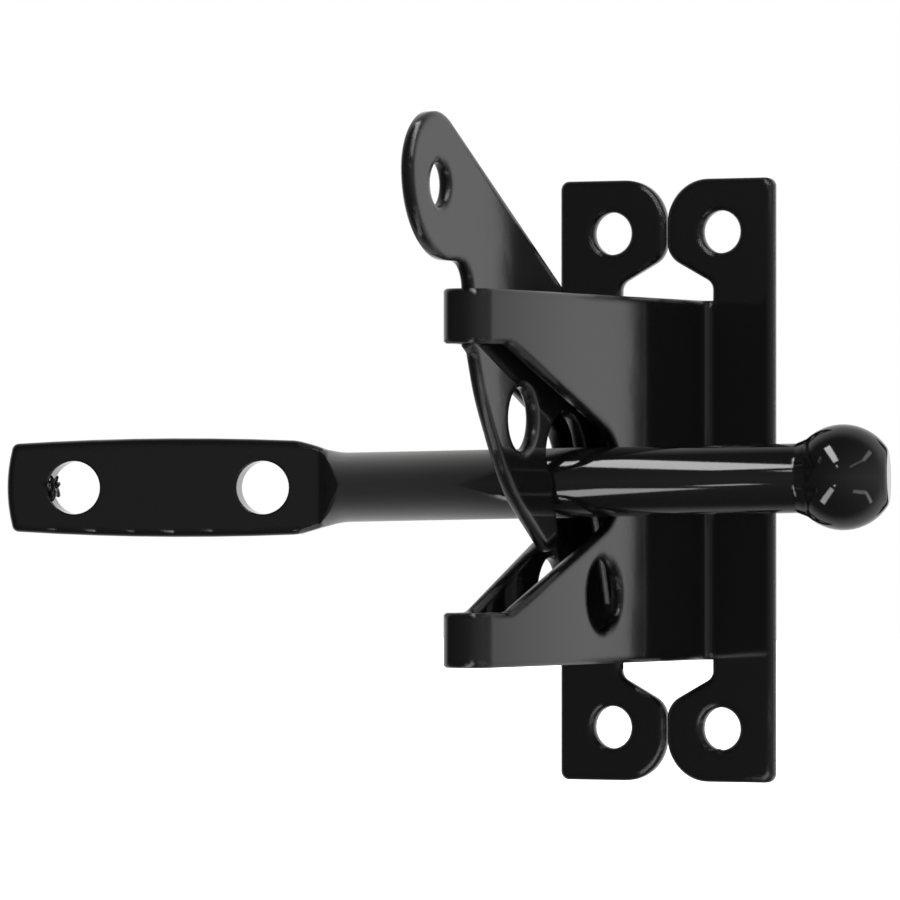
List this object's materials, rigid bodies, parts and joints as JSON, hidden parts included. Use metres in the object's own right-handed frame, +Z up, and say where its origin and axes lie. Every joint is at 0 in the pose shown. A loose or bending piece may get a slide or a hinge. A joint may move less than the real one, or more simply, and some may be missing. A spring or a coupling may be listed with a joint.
{
  "type": "gate latch",
  "caption": "Gravity gate latch: folded post housing with a swinging hook lever, and a ball-ended strike bar resting in its notch.",
  "frame": {"origin": "centre of the four post screws, on the back face of the flanges", "axes": "-Y leaves the post, +Z is up, +X runs along the gate toward the strike bar's ball end"},
  "size_m": [0.1236, 0.0882, 0.095],
  "materials": {
    "gloss_black": "gloss"
  },
  "bodies": {
    "latch": {"housing": "gloss_black", "pivot_rivet": "gloss_black", "strike_bar": "gloss_black"},
    "lever": {"lever": "gloss_black"}
  },
  "joints": [
    {"name": "lever_swing", "type": "hinge", "parent": "latch", "child": "lever", "pos_m": [0, -0.0105, 0], "axis": [-1, 0, 0], "range_deg": [0, 40]}
  ]
}
